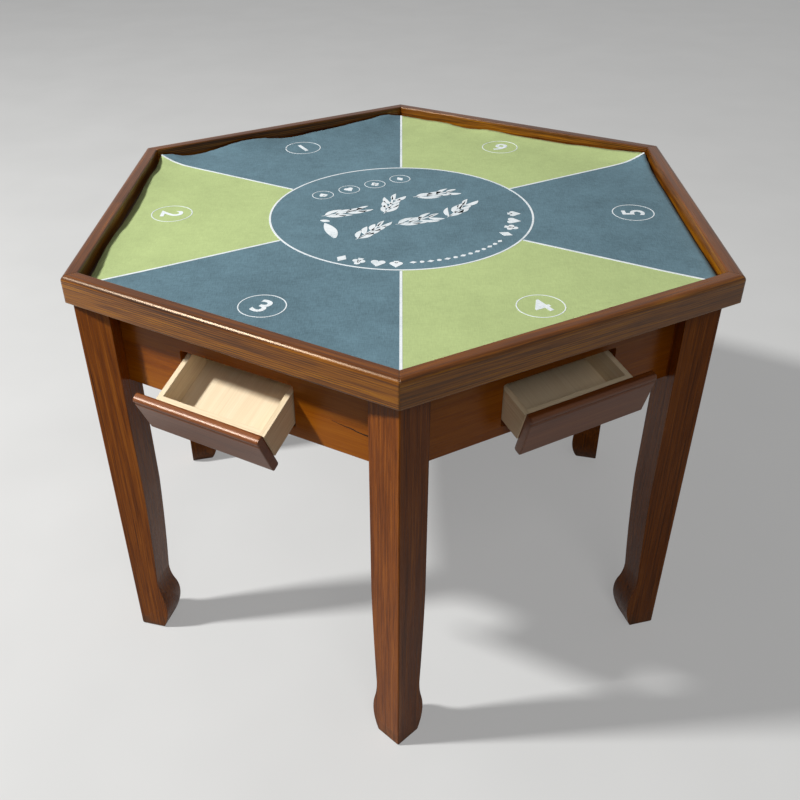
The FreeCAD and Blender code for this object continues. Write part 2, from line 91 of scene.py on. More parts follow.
# ---- shader building ----
class Nodes:
    """Adds shader nodes to a new material and joins them up."""

    def __init__(self, name):
        self.material = bpy.data.materials.new(name)
        self.material.use_nodes = True
        self.tree = self.material.node_tree
        self.bsdf = self.tree.nodes["Principled BSDF"]

    def add(self, kind, inputs=None, **settings):
        node = self.tree.nodes.new("ShaderNode" + kind)
        for key, value in settings.items():
            setattr(node, key, value)
        for key, value in (inputs or {}).items():
            self.put(node.inputs[key], value)
        return node

    def put(self, socket, value):
        if isinstance(value, bpy.types.NodeSocket):
            self.tree.links.new(value, socket)
        elif isinstance(value, tuple) and socket.type == "RGBA" and len(value) == 3:
            socket.default_value = (*value, 1.0)
        else:
            socket.default_value = value

    def sum(self, operation, a, b=0.0, clamp=False):
        return self.add("Math", {0: a, 1: b}, operation=operation, use_clamp=clamp).outputs[0]

    def noise(self, vector, scale, detail=2.0, roughness=0.5, distortion=0.0):
        return self.add("TexNoise", {"Vector": vector, "Scale": scale, "Detail": detail,
                                     "Roughness": roughness, "Distortion": distortion}).outputs["Fac"]

    def span(self, value, low, high, to_low=0.0, to_high=1.0):
        return self.add("MapRange", {"Value": value, "From Min": low, "From Max": high,
                                     "To Min": to_low, "To Max": to_high}).outputs[0]

    def stretch(self, vector, scale):
        return self.add("Mapping", {"Vector": vector, "Scale": scale}).outputs[0]

    def ramp(self, value, stops):
        node = self.add("ValToRGB", {"Fac": value})
        ramp = node.color_ramp
        while len(ramp.elements) < len(stops):
            ramp.elements.new(0.5)
        for element, (place, colour) in zip(ramp.elements, stops):
            element.position = place
            element.color = (*colour, 1.0)
        return node.outputs["Color"]

    def blend(self, amount, a, b):
        node = self.add("Mix", data_type="RGBA")
        self.put(node.inputs["Factor"], amount)
        self.put(node.inputs["A"], a)
        self.put(node.inputs["B"], b)
        return node.outputs["Result"]

    def position(self):
        return self.add("TexCoord").outputs["Object"]

    def surface(self, colour, roughness, height=None, relief=0.3, depth=0.0004, soft_edge=0.0, **sockets):
        """Joins colour, roughness and height to the surface. The rest goes on the sockets of its names."""
        self.put(self.bsdf.inputs["Base Color"], colour)
        self.put(self.bsdf.inputs["Roughness"], roughness)
        for key, value in sockets.items():
            self.put(self.bsdf.inputs[key.replace("_", " ")], value)
        normal = None
        if soft_edge:
            normal = self.add("Bevel", {"Radius": soft_edge}, samples=4).outputs[0]
        if height is not None:
            bump = self.add("Bump", {"Height": height, "Strength": relief, "Distance": depth})
            if normal:
                self.put(bump.inputs["Normal"], normal)
            normal = bump.outputs[0]
        if normal:
            self.put(self.bsdf.inputs["Normal"], normal)
        return self.material


# how far the grain moves on from one board to the next, in metres
BOARD_SHIFT = (2.3, 5.1, 1.7)
# places of a wood's four tones, dark to light
TONE_STOPS = (0.12, 0.40, 0.62, 0.86)
# height over which a rim board's side tones give way to its top tones, which are darker: partly a darker
# stain, partly painted shade
TOP_LEVEL = (0.7510, 0.7540)
# height up to which dirt shows on a foot, how uneven its edge is, and its colour
DIRT_HEIGHT = 0.03
DIRT_EDGE = 0.018
DIRT = (0.10, 0.065, 0.045)
# split in an apron: its ends along the board, its heights there, where it widens, and its half widths there
SPLIT_ENDS = (0.150, 0.218)
SPLIT_HEIGHTS = (0.6145, 0.6068)
SPLIT_START = 0.156
SPLIT_WIDENS = (0.155, 0.216)
SPLIT_WIDTHS = (0.0004, 0.0013)
SPLIT_RAGGED = 0.0010
SPLIT_COLOUR = (0.020, 0.005, 0.001)


def board_frame(nodes, first_direction, tilt):
    """Position in the frame of the nearest of six directions, moved on for each so no two boards match."""
    place = nodes.position()
    parts = nodes.add("SeparateXYZ", {0: place})
    angle = nodes.sum("ARCTAN2", parts.outputs[1], parts.outputs[0])
    step = math.radians(60)
    first = math.radians(first_direction)
    count = nodes.sum("ROUND", nodes.sum("DIVIDE", nodes.sum("SUBTRACT", angle, first), step))
    turn = nodes.sum("ADD", nodes.sum("MULTIPLY", count, -step), -first)
    turned = nodes.add("VectorRotate", {"Vector": place, "Angle": turn}, rotation_type="Z_AXIS").outputs[0]
    if tilt:
        turned = nodes.add("VectorRotate", {"Vector": turned, "Angle": math.radians(-tilt)},
                           rotation_type="Y_AXIS").outputs[0]
    offset = nodes.add("CombineXYZ", {axis: nodes.sum("MULTIPLY", count, shift)
                                      for axis, shift in enumerate(BOARD_SHIFT)}).outputs[0]
    moved = nodes.add("VectorMath", {0: turned, 1: offset}, operation="ADD").outputs[0]
    return moved, turned


def wood(name, tones, along, first_direction=0.0, tilt=0.0, gloss=(0.22, 0.34), specular=0.2,
         lacquer=(1.0, 1.0, 1.0), rings=0.3, spacing=0.0042, sway=0.022, pores=0.5, fibres=0.5, blotch=0.5,
         relief=0.22, soft_edge=0.0010, top_tones_with_painted_shade=None, foot=False, crack=False):
    """Board material: growth rings, fibres and dark pores along one axis of the board's frame.

    Tones run from dark to light, and top_tones_with_painted_shade are those of a rim board's upper face. Rings, pores and
    fibres say how strongly those lines show, spacing how far apart the rings are, sway how much they
    wander and blotch how uneven the stain is. foot adds dirt near the floor and crack one split."""
    nodes = Nodes(name)
    moved, frame_place = board_frame(nodes, first_direction, tilt)

    def grain(ratio, vector=moved):
        scale = [1.0, 1.0, 1.0]
        scale["xyz".index(along)] = ratio
        return nodes.stretch(vector, tuple(scale))

    drift = nodes.add("TexNoise", {"Vector": grain(0.12), "Scale": 9.0, "Detail": 2.0, "Roughness": 0.45})
    drift = nodes.add("VectorMath", {0: drift.outputs["Color"], 1: (-0.5, -0.5, -0.5)}, operation="ADD")
    drift = nodes.add("VectorMath", {0: drift.outputs[0], "Scale": sway}, operation="SCALE").outputs[0]
    place = nodes.add("VectorMath", {0: moved, 1: drift}, operation="ADD").outputs[0]

    broad = nodes.noise(grain(0.10, place), 14.0, 3.0, 0.55)
    streak = nodes.noise(grain(0.020, place), 170.0, 4.0, 0.66)
    fibre = nodes.noise(grain(0.014, place), 560.0, 3.0, 0.70)
    across = {"x": (0.0, 0.62, 0.78), "y": (0.66, 0.0, 0.75), "z": (0.80, 0.60, 0.0)}[along]
    depth = nodes.add("VectorMath", {0: place, 1: across}, operation="DOT_PRODUCT").outputs["Value"]
    ring = nodes.sum("FRACT", nodes.sum("DIVIDE", depth, spacing))
    late = nodes.sum("MULTIPLY", nodes.span(ring, 0.45, 0.88), nodes.span(ring, 1.0, 0.90))
    faint = nodes.span(nodes.noise(grain(0.05), 40.0, 2.0), 0.38, 0.62, 0.15, 1.0)
    late = nodes.sum("MULTIPLY", late, faint)
    holes = nodes.span(nodes.noise(grain(0.016, place), 820.0, 1.0), 0.55, 0.68)
    tiny = nodes.span(nodes.noise(grain(0.035, place), 1500.0, 1.0), 0.56, 0.68)

    def part(value, weight):
        return nodes.sum("MULTIPLY", nodes.sum("SUBTRACT", value, 0.5), weight)

    tone = nodes.sum("ADD", part(broad, blotch), 0.62)
    tone = nodes.sum("ADD", tone, part(streak, fibres))
    tone = nodes.sum("ADD", tone, part(fibre, fibres))
    tone = nodes.sum("SUBTRACT", tone, nodes.sum("MULTIPLY", late, rings))
    tone = nodes.sum("SUBTRACT", tone, nodes.sum("MULTIPLY", holes, pores))
    tone = nodes.sum("SUBTRACT", tone, nodes.sum("MULTIPLY", tiny, 0.3 * pores))
    colour = nodes.ramp(tone, list(zip(TONE_STOPS, tones)))
    # the rim board's upper face takes darker tones: partly a darker stain, partly painted shade
    if top_tones_with_painted_shade:
        level = nodes.add("SeparateXYZ", {0: frame_place}).outputs[2]
        upper = nodes.ramp(tone, list(zip(TONE_STOPS, top_tones_with_painted_shade)))
        colour = nodes.blend(nodes.span(level, *TOP_LEVEL), colour, upper)
    height = nodes.sum("SUBTRACT", nodes.sum("MULTIPLY", fibre, 0.5), nodes.sum("MULTIPLY", tiny, 0.8))
    height = nodes.sum("SUBTRACT", height, nodes.sum("MULTIPLY", holes, 0.8))
    roughness = nodes.span(tone, 0.3, 0.8, gloss[1], gloss[0])
    if foot:
        level = nodes.add("SeparateXYZ", {0: frame_place}).outputs[2]
        uneven = nodes.span(nodes.noise(place, 60.0, 3.0), 0.3, 0.7, -DIRT_EDGE, DIRT_EDGE)
        dirt = nodes.span(nodes.sum("ADD", level, uneven), 0.0, DIRT_HEIGHT, 0.6, 0.0)
        colour = nodes.blend(dirt, colour, DIRT)
        roughness = nodes.sum("ADD", roughness, nodes.sum("MULTIPLY", dirt, 0.5), clamp=True)
    if crack:
        parts = nodes.add("SeparateXYZ", {0: frame_place})
        line = nodes.span(parts.outputs[1], *SPLIT_ENDS, *SPLIT_HEIGHTS)
        ragged = nodes.span(nodes.noise(moved, 45.0, 2.0), 0.3, 0.7, -SPLIT_RAGGED, SPLIT_RAGGED)
        line = nodes.sum("ABSOLUTE", nodes.sum("ADD", nodes.sum("SUBTRACT", parts.outputs[2], line), ragged))
        width = nodes.span(parts.outputs[1], *SPLIT_WIDENS, *SPLIT_WIDTHS)
        split = nodes.sum("GREATER_THAN", width, line)
        split = nodes.sum("MULTIPLY", split, nodes.sum("GREATER_THAN", parts.outputs[1], SPLIT_START))
        colour = nodes.blend(split, colour, SPLIT_COLOUR)
        height = nodes.sum("SUBTRACT", height, nodes.sum("MULTIPLY", split, 2.0))
    return nodes.surface(colour, roughness, height, relief=relief, depth=0.0003, soft_edge=soft_edge,
                         Specular_IOR_Level=specular, Specular_Tint=(*lacquer, 1.0))


def cloth(name, colour, spread=0.20):
    """Printed mat cloth: a fine weave, soft mottling and slight rubbed patches."""
    nodes = Nodes(name)
    place = nodes.position()
    warp = nodes.noise(nodes.stretch(place, (1.0, 0.10, 1.0)), 900.0, 2.0, 0.6)
    weft = nodes.noise(nodes.stretch(place, (0.10, 1.0, 1.0)), 900.0, 2.0, 0.6)
    threads = nodes.sum("MULTIPLY", nodes.sum("ADD", warp, weft), 0.5)
    mottle = nodes.noise(place, 28.0, 5.0, 0.65)
    cloud = nodes.noise(place, 4.5, 2.0)
    tone = nodes.sum("ADD", nodes.sum("MULTIPLY", threads, 0.55), nodes.sum("MULTIPLY", mottle, 0.25))
    tone = nodes.sum("ADD", tone, nodes.sum("MULTIPLY", cloud, 0.20))
    dark = tuple(c * (1.0 - 1.6 * spread) for c in colour)
    light = tuple(min(1.0, c * (1.0 + 1.6 * spread)) for c in colour)
    shade = nodes.ramp(tone, [(0.36, dark), (0.5, colour), (0.64, light)])
    roughness = nodes.span(mottle, 0.3, 0.7, 0.82, 0.95)
    return nodes.surface(shade, roughness, threads, relief=0.35, depth=0.0005,
                         Sheen_Weight=0.03, Sheen_Roughness=0.5, Specular_IOR_Level=0.1)


def print_white(name):
    """White print, slightly worn."""
    nodes = Nodes(name)
    place = nodes.position()
    wear = nodes.noise(place, 220.0, 4.0, 0.7)
    rubbed = nodes.noise(place, 18.0, 2.0)
    tone = nodes.sum("ADD", nodes.sum("MULTIPLY", wear, 0.6), nodes.sum("MULTIPLY", rubbed, 0.4))
    colour = nodes.ramp(tone, [(0.34, (0.60, 0.67, 0.69)), (0.5, (0.80, 0.85, 0.87)),
                               (0.62, (0.88, 0.91, 0.92))])
    return nodes.surface(colour, nodes.span(wear, 0.3, 0.7, 0.75, 0.9), wear, relief=0.2, depth=0.0003,
                         Specular_IOR_Level=0.2)


def plated_steel(name):
    """Dull plated metal of the hidden fasteners."""
    nodes = Nodes(name)
    place = nodes.position()
    film = nodes.noise(place, 90.0, 4.0, 0.6)
    scratch = nodes.noise(nodes.stretch(place, (1.0, 1.0, 0.06)), 1400.0, 2.0)
    colour = nodes.ramp(film, [(0.35, (0.42, 0.41, 0.38)), (0.55, (0.62, 0.62, 0.60)),
                               (0.7, (0.70, 0.69, 0.64))])
    roughness = nodes.span(scratch, 0.3, 0.7, 0.28, 0.5)
    return nodes.surface(colour, roughness, scratch, relief=0.1, depth=0.0001, soft_edge=0.0003,
                         Metallic=1.0)


# wood tones, dark to light
STAIN = [(0.072, 0.014, 0.001), (0.220, 0.052, 0.002), (0.310, 0.085, 0.003), (0.387, 0.121, 0.005)]
STAIN_LEG = [(0.040, 0.009, 0.001), (0.125, 0.029, 0.002), (0.215, 0.054, 0.004), (0.320, 0.094, 0.008)]
STAIN_RIM = [(0.026, 0.005, 0.001), (0.106, 0.026, 0.001), (0.242, 0.076, 0.002), (0.422, 0.167, 0.007)]
# upper face of the rim: darker than its sides, partly as a darker stain and partly as painted shade
RIM_TOP_TONES_WITH_PAINTED_SHADE = [(0.041, 0.009, 0.001), (0.087, 0.020, 0.001), (0.135, 0.034, 0.001), (0.230, 0.066, 0.002)]
STAIN_FACE = [(0.041, 0.008, 0.001), (0.110, 0.024, 0.002), (0.184, 0.046, 0.005), (0.248, 0.072, 0.009)]
PALE = [(0.58, 0.42, 0.24), (0.72, 0.56, 0.35), (0.82, 0.67, 0.45), (0.88, 0.76, 0.56)]
PALE_PLY = [(0.60, 0.45, 0.26), (0.73, 0.57, 0.37), (0.80, 0.65, 0.44), (0.86, 0.73, 0.53)]
FRAME = [(0.26, 0.15, 0.07), (0.40, 0.25, 0.13), (0.50, 0.33, 0.18), (0.60, 0.43, 0.26)]
# top panel: a dark stain, made darker still as painted shade for the gap between the mat and the rim
PANEL_STAIN_AND_PAINTED_SHADE = [(0.020, 0.011, 0.007), (0.038, 0.020, 0.012), (0.055, 0.030, 0.018), (0.075, 0.042, 0.026)]
# tints of the gloss on stained wood
WARM_LACQUER = (1.0, 0.74, 0.50)
FACE_LACQUER = (1.0, 0.80, 0.66)


def dress(node, material):
    """Gives a CAD node its finished material."""
    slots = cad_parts[node].data.materials
    if slots:
        for index in range(len(slots)):
            slots[index] = material
    else:
        slots.append(material)


def dress_frame():
    """Stained boards, bare hidden blocks and plated fasteners."""
    rim = wood("stained_rim", STAIN_RIM, "y", gloss=(0.27, 0.31), specular=0.62, lacquer=WARM_LACQUER,
               rings=0.42, spacing=0.0026, sway=0.006, pores=0.20, fibres=1.05, blotch=0.8, relief=0.04,
               soft_edge=0.0040, top_tones_with_painted_shade=RIM_TOP_TONES_WITH_PAINTED_SHADE)
    aprons = {}
    for name, split in (("stained_apron", False), ("stained_apron_split", True)):
        aprons[split] = wood(name, STAIN, "y", gloss=(0.20, 0.30), specular=0.2, lacquer=WARM_LACQUER,
                             rings=0.07, spacing=0.0065, pores=0.10, fibres=0.6, blotch=0.9, crack=split)
    leg = wood("stained_leg", STAIN_LEG, "z", first_direction=30.0, specular=0.15, lacquer=WARM_LACQUER,
               rings=0.10, spacing=0.0060, pores=0.20, fibres=1.1, blotch=0.4, foot=True)
    face = wood("stained_drawer_face", STAIN_FACE, "y", gloss=(0.30, 0.36), specular=0.6,
                lacquer=FACE_LACQUER, rings=0.10, pores=0.10, fibres=0.5, relief=0.10, soft_edge=0.0050)
    bare = wood("bare_frame_wood", FRAME, "y", gloss=(0.6, 0.75), pores=0.2)
    brace = wood("bare_brace_wood", FRAME, "y", first_direction=30.0, gloss=(0.6, 0.75), pores=0.2)
    steel = plated_steel("plated_steel")
    for k in SIDES:
        dress(f"rim_board_{k}", rim)
        dress(f"apron_{k}", aprons[k == 3])
        dress(f"leg_{k}", leg)
        dress(f"drawer_{k}_face", face)
    for node in ("panel_cleats", "pivot_blocks"):
        dress(node, bare)
    dress("corner_braces", brace)
    # the top panel is near black: a dark stain plus painted shade in the gap beside the mat
    dress("top_panel", wood("dark_panel_with_painted_shade", PANEL_STAIN_AND_PAINTED_SHADE, "y", gloss=(0.55, 0.7), pores=0.2))
    for node in ("brace_bolts", "brace_nuts", "brace_washers", "panel_screws", "pivot_pins"):
        dress(node, steel)


def dress_drawers():
    """Pale boxes and their cradles, with the grain tipped as far as each drawer hangs."""
    made = {}
    for k in SIDES:
        tilt = DROOP[k]
        if tilt not in made:
            tag = f"_tipped_{round(tilt)}" if tilt else ""
            pale = {"tilt": tilt, "gloss": (0.45, 0.6), "rings": 0.10, "pores": 0.12}
            made[tilt] = {
                "sides": wood("drawer_side_wood" + tag, PALE, "x", **pale),
                "ends": wood("drawer_end_wood" + tag, PALE, "y", **pale),
                "bottom": wood("drawer_bottom_ply" + tag, PALE_PLY, "x", tilt=tilt, gloss=(0.4, 0.55),
                               rings=0.06, spacing=0.012, pores=0.06),
                "runners": wood("runner_wood" + tag, FRAME, "x", tilt=tilt, gloss=(0.6, 0.75), pores=0.2),
            }
        for part, material in made[tilt].items():
            dress(f"drawer_{k}_{part}", material)


# ---- the mat's shape ----
def edge_lift(direction):
    """Smooth height of the mat's edge, in metres, in a direction given in degrees."""
    direction %= 360.0
    for (a0, h0), (a1, h1) in zip(EDGE_LIFT, EDGE_LIFT[1:]):
        if a0 <= direction <= a1:
            t = (direction - a0) / (a1 - a0)
            t = t * t * (3 - 2 * t)
            return (h0 + (h1 - h0) * t) / 1000.0
    return 0.0


def hex_distance(x, y):
    """How far out a point of the mat lies, as the apothem of the hexagon through it."""
    return max(x * math.cos(math.radians(60 * k)) + y * math.sin(math.radians(60 * k)) for k in range(6))


def mat_height(x, y):
    """Height of the mat's upper face over a point of the table."""
    x, y = x - MAT_CENTRE[0], y - MAT_CENTRE[1]
    inward = MAT_APOTHEM - hex_distance(x, y)
    direction = math.degrees(math.atan2(y, x))
    near_corner = abs(direction % 60 - 30)
    reach = RISE_REACH - CORNER_REACH_LOSS * max(0.0, 1 - near_corner / CORNER_WIDTH)
    rise = max(0.0, 1 - inward / reach) ** 2
    ripple = RIPPLE_HEIGHT * math.sin(direction * 0.21 + 40 * inward) * max(0.0, 1 - inward / RIPPLE_REACH)
    return MAT_TOP + edge_lift(direction) * rise + max(0.0, ripple)


def mat_point(direction, share):
    """A point of the mat: share 0 is its middle, 0.5 the printed circle and 1 its edge."""
    a = math.radians(direction)
    nearest = round(direction / 60.0) * 60.0
    edge = MAT_APOTHEM / math.cos(math.radians(direction - nearest))
    if share <= 0.5:
        radius = DISC_RADIUS * share * 2
    else:
        radius = DISC_RADIUS + (edge - DISC_RADIUS) * (share - 0.5) * 2
    return MAT_CENTRE[0] + radius * math.cos(a), MAT_CENTRE[1] + radius * math.sin(a)


def mesh_piece(name, vertices, faces, materials, face_materials=None, smooth=True):
    mesh = bpy.data.meshes.new(name)
    mesh.from_pydata(vertices, [], faces)
    for material in materials:
        mesh.materials.append(material)
    if face_materials:
        mesh.polygons.foreach_set("material_index", face_materials)
    mesh.polygons.foreach_set("use_smooth", [smooth] * len(faces))
    mesh.validate()
    piece = bpy.data.objects.new(name, mesh)
    bpy.context.scene.collection.objects.link(piece)
    return piece


def playing_mat():
    """The mat as one closed sheet, with a row of corners on every sector line and on the circle."""
    blue = cloth("mat_blue", (0.122, 0.205, 0.247))
    green = cloth("mat_green", (0.456, 0.552, 0.243), spread=0.09)
    backing = cloth("mat_backing", (0.03, 0.03, 0.03))
    around = 6 * SECTOR_STEPS
    inner = [i / 24 for i in range(1, 13)]
    outer = [0.5 + 0.5 * (i / 30) ** 0.8 for i in range(1, 31)]
    shares = inner + outer
    vertices = [(*MAT_CENTRE, MAT_TOP)]
    directions = [360.0 * j / around - 30.0 for j in range(around)]
    for share in shares:
        for direction in directions:
            x, y = mat_point(direction, share)
            vertices.append((x, y, mat_height(x, y)))
    top_count = len(vertices)
    edge_start = top_count - around
    faces, kinds = [], []
    for j in range(around):
        faces.append((0, 1 + j, 1 + (j + 1) % around))
        kinds.append(0)
    for row in range(len(shares) - 1):
        for j in range(around):
            a, b = 1 + row * around + j, 1 + row * around + (j + 1) % around
            faces.append((a, a + around, b + around, b))
            # sector 0 lies about direction 0, which is side 5: blue on odd sides, green on even ones
            kinds.append(0 if row < len(inner) - 1 else j // SECTOR_STEPS % 2)
    lower = [(x, y, z - MAT_THICKNESS) for x, y, z in vertices]
    vertices += lower
    mirrored = [tuple(i + top_count for i in reversed(face)) for face in faces]
    faces += mirrored
    kinds += [2] * len(mirrored)
    for j in range(around):
        a, b = edge_start + j, edge_start + (j + 1) % around
        faces.append((a, a + top_count, b + top_count, b))
        kinds.append(2)
    return mesh_piece("printed_mat", vertices, faces, [blue, green, backing], kinds)


# ---- the mat's print ----
PRINT_LIFT = 0.0003
PRINT_SINK = 0.0004
# widths of the printed lines
DISC_LINE = 0.0034
SECTOR_LINE = 0.0042
NUMBER_RING_LINE = 0.0017
SUIT_RING_LINE = 0.0013
# sizes of the printed figures
NUMBER_SIZE = 0.0545
SPRIG_SIZE = 0.078
SUIT_SIZE = 0.0180
SUIT_RING_RADIUS = 0.0196
# directions and radius of the two rows of suits, then of the row of diamonds and dots
SUIT_ROWS = (((-117.0, -108.8, -100.2, -92.1), 0.2125), ((-27.4, -18.8, -10.2, -1.0), 0.2010))
DOT_ROW_RADIUS = 0.2060
DOT_ROW_START = -84.5
DOT_ROW_STEP = 4.0
DOT_ROW_COUNT = 13
DIAMOND_SIZE = 0.0115
DOT_SIZE = 0.0075
# places from the mat's centre: the first ringed suit, the step to the next, and the sprays row by row
RINGED_START = (-0.1457, 0.0887)
RINGED_STEP = (0.0478, 0.0279)
SPRIG_PLACES = ((-0.097, 0.001), (-0.015, 0.042), (0.067, 0.088),
                (-0.047, -0.079), (0.033, -0.033), (0.108, 0.018))


def ribbon(points, width, closed=False):
    """Corners and faces of a flat printed line laid on the mat along a row of points."""
    count = len(points)
    vertices, faces = [], []
    for i, point in enumerate(points):
        before = points[(i - 1) % count] if closed or i else point
        after = points[(i + 1) % count] if closed or i < count - 1 else point
        run = Vector((after[0] - before[0], after[1] - before[1])).normalized()
        left = Vector((-run.y, run.x)) * width / 2
        for sign in (1, -1):
            x, y = point[0] + sign * left.x, point[1] + sign * left.y
            z = mat_height(x, y)
            vertices.append((x, y, z + PRINT_LIFT))
            vertices.append((x, y, z - PRINT_SINK))
    for i in range(count if closed else count - 1):
        a, b = 4 * i, 4 * ((i + 1) % count)
        faces += [(a, a + 2, b + 2, b), (a + 1, b + 1, b + 3, a + 3),
                  (a, b, b + 1, a + 1), (a + 2, a + 3, b + 3, b + 2)]
    if not closed:
        last = 4 * (count - 1)
        faces += [(0, 1, 3, 2), (last, last + 2, last + 3, last + 1)]
    return vertices, faces


def circle_points(centre, radius, count):
    return [(centre[0] + radius * math.cos(2 * math.pi * i / count),
             centre[1] + radius * math.sin(2 * math.pi * i / count)) for i in range(count)]


def line_points(start, end, count):
    return [(start[0] + (end[0] - start[0]) * i / count, start[1] + (end[1] - start[1]) * i / count)
            for i in range(count + 1)]


def gather(parts):
    """Joins several (vertices, faces) lists into one."""
    vertices, faces = [], []
    for part_vertices, part_faces in parts:
        base = len(vertices)
        vertices += part_vertices
        faces += [tuple(i + base for i in face) for face in part_faces]
    return vertices, faces


def printed_lines(material):
    """The circle, the six sector lines and the rings about the place numbers."""
    parts = [ribbon(circle_points(MAT_CENTRE, DISC_RADIUS, 180), DISC_LINE, closed=True)]
    for corner in range(6):
        direction = 60.0 * corner + 30.0
        start = mat_point(direction, 0.505)
        end = mat_point(direction, 0.998)
        parts.append(ribbon(line_points(start, end, 60), SECTOR_LINE))
    for k in SIDES:
        parts.append(ribbon(circle_points(number_place(k), RING_RADIUS, 72), NUMBER_RING_LINE, closed=True))
    vertices, faces = gather(parts)
    return mesh_piece("mat_printed_lines", vertices, faces, [material], smooth=False)


def disc_place(radius, direction):
    """A point at a radius from the mat's centre, in a direction in degrees."""
    a = math.radians(direction)
    return (MAT_CENTRE[0] + radius * math.cos(a), MAT_CENTRE[1] + radius * math.sin(a))


def number_place(side):
    return disc_place(NUMBER_RADIUS, 60 * (side + 1))


def outline_mesh(curve):
    """The filled shape of a flat curve or figure, as (vertices, faces)."""
    holder = bpy.data.objects.new("outline", curve)
    bpy.context.scene.collection.objects.link(holder)
    bpy.context.view_layer.update()
    mesh = bpy.data.meshes.new_from_object(holder.evaluated_get(bpy.context.evaluated_depsgraph_get()))
    vertices = [tuple(v.co) for v in mesh.vertices]
    faces = [tuple(p.vertices) for p in mesh.polygons]
    bpy.data.objects.remove(holder)
    return vertices, faces


def laid(shape, place, turn):
    """Lays a flat shape on the mat: its up direction is turned by an angle in degrees from +Y."""
    vertices, faces = shape
    c, s = math.cos(math.radians(turn)), math.sin(math.radians(turn))
    out = []
    for x, y, z in vertices:
        px, py = place[0] + x * c - y * s, place[1] + x * s + y * c
        out.append((px, py, mat_height(px, py) + (PRINT_LIFT if z > 0 else -PRINT_SINK)))
    return out, faces


def figure(text, size):
    """A flat place number, centred."""
    curve = bpy.data.curves.new("figure", "FONT")
    curve.body = text
    curve.size = size
    curve.align_x = "CENTER"
    curve.align_y = "CENTER"
    curve.extrude = 0.0002
    curve.offset = size * 0.016
    curve.resolution_u = 6
    vertices, faces = outline_mesh(curve)
    middle = [(min(v[i] for v in vertices) + max(v[i] for v in vertices)) / 2 for i in (0, 1)]
    return [(x - middle[0], y - middle[1], z) for x, y, z in vertices], faces


def flat_shape(loops):
    """A filled shape from closed loops of points."""
    curve = bpy.data.curves.new("shape", "CURVE")
    curve.dimensions = "2D"
    curve.fill_mode = "BOTH"
    curve.extrude = 0.0002
    for loop in loops:
        spline = curve.splines.new("POLY")
        spline.points.add(len(loop) - 1)
        for point, (x, y) in zip(spline.points, loop):
            point.co = (x, y, 0.0, 1.0)
        spline.use_cyclic_u = True
    return outline_mesh(curve)


def arc_points(centre, radius, start, end, count=14):
    """Points of an arc between two angles in degrees."""
    return [(centre[0] + radius * math.cos(math.radians(start + (end - start) * i / count)),
             centre[1] + radius * math.sin(math.radians(start + (end - start) * i / count)))
            for i in range(count + 1)]


def stem(size):
    return [(0.06 * size, -0.15 * size), (0.20 * size, -0.5 * size), (-0.20 * size, -0.5 * size),
            (-0.06 * size, -0.15 * size)]


def heart(size):
    right = arc_points((0.24 * size, 0.22 * size), 0.26 * size, -30, 180)
    left = arc_points((-0.24 * size, 0.22 * size), 0.26 * size, 0, 210)
    return [[(0.0, -0.5 * size)] + right[:-1] + [(0.0, 0.2 * size)] + left[1:]]


def spade(size):
    body = [(x, -y * 0.95) for x, y in heart(size * 0.9)[0]]
    return [[(x, y + 0.06 * size) for x, y in body], stem(size)]


def diamond(size):
    return [[(0.0, 0.52 * size), (0.36 * size, 0.0), (0.0, -0.52 * size), (-0.36 * size, 0.0)]]


def club(size):
    centres = ((0.0, 0.28 * size), (0.235 * size, -0.06 * size), (-0.235 * size, -0.06 * size))
    lobes = [arc_points(centre, 0.21 * size, 0, 345, 20) for centre in centres]
    return [*lobes,
            [(0.05 * size, 0.2 * size), (0.2 * size, -0.5 * size), (-0.2 * size, -0.5 * size),
             (-0.05 * size, 0.2 * size)]]


def union_shape(loops):
    """Each loop filled on its own, so overlapping loops don't cancel out."""
    return gather([flat_shape([loop]) for loop in loops])


def leaf(root, direction, length, width, bend):
    """Outline of one tapered leaf."""
    a = math.radians(direction)
    upper, lower = [], []
    for i in range(13):
        t = i / 12
        turn = a + bend * t
        x = root[0] + length * t * math.cos(turn)
        y = root[1] + length * t * math.sin(turn)
        half = width / 2 * math.sin(math.pi * min(1.0, t * 0.96 + 0.04)) ** 0.8
        upper.append((x - half * math.sin(turn), y + half * math.cos(turn)))
        lower.append((x + half * math.sin(turn), y - half * math.cos(turn)))
    return upper + lower[::-1]


def sprig(size, rng):
    """A bold brush-drawn spray of leaves about as wide as it is tall."""
    loops = [leaf((-0.44 * size, -0.40 * size), 40, 1.12 * size, 0.060 * size, 0.22)]
    for i in range(4):
        t = 0.08 + 0.22 * i
        root = ((-0.44 + 0.80 * t) * size, (-0.40 + 0.82 * t) * size)
        for sign in (1, -1):
            direction = 48 + sign * rng.uniform(34, 62)
            length = size * rng.uniform(0.42, 0.58) * (1 - 0.30 * t)
            loops.append(leaf(root, direction, length, size * rng.uniform(0.105, 0.140), -sign * 0.45))
    return loops


